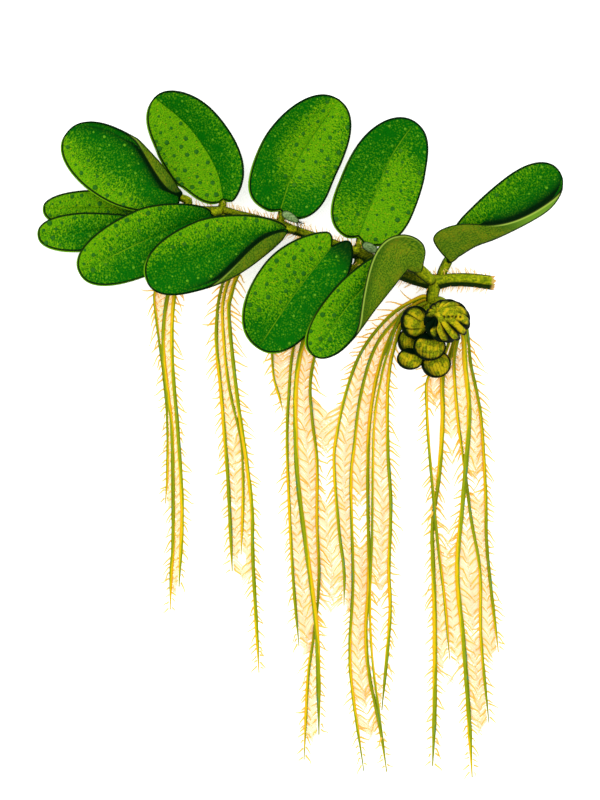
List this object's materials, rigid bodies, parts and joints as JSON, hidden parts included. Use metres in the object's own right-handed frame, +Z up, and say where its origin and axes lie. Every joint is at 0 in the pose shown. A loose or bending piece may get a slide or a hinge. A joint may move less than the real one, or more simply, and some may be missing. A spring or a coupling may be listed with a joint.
{
  "type": "salvinia plant",
  "caption": "Small floating fern laid flat: a stem with paired oval green leaves above, and hairy straw-coloured threads and ribbed round fruits hanging below.",
  "frame": {"origin": "centre of the plant's box, on the surface it lies on", "axes": "+X along the stem towards its cut end, +Y from the tips of the submerged leaves up to the floating leaves, +Z up from the surface"},
  "size_m": [0.0526, 0.0686, 0.0065],
  "materials": {
    "leaf": "satin",
    "stem": "matte",
    "thread": "matte",
    "bud": "matte"
  },
  "bodies": {
    "root": {"rhizome": "stem", "leaf_tip_upper": "leaf", "leaf_tip_lower": "leaf", "leaf_5_upper": "leaf", "leaf_4_lower": "leaf", "leaf_4_upper": "leaf", "leaf_3_lower": "leaf", "leaf_3_upper": "leaf", "leaf_2_lower": "leaf", "leaf_2_upper": "leaf", "leaf_1_lower": "leaf", "leaf_1_upper": "leaf", "submerged_stalk_4": "stem", "submerged_stalk_3": "stem", "submerged_stalk_2": "stem", "submerged_stalk_1": "stem", "sporocarp_1": "stem", "sporocarp_2": "stem", "sporocarp_3": "stem", "sporocarp_4": "stem", "sporocarp_5": "stem", "sporocarp_6": "stem", "filament_4a": "thread", "filament_4b": "thread", "filament_4c": "thread", "filament_3a": "thread", "filament_3b": "thread", "filament_3c": "thread", "filament_2a": "thread", "filament_2b": "thread", "filament_2c": "thread", "filament_2d": "thread", "filament_1a": "thread", "filament_1b": "thread", "filament_1c": "thread", "filament_1d": "thread", "filament_1e": "thread", "filament_1f": "thread", "filament_1g": "thread", "filament_1h": "thread", "filament_1i": "thread", "filament_1j": "thread", "bud_3": "bud", "bud_2": "bud"}
  },
  "joints": []
}
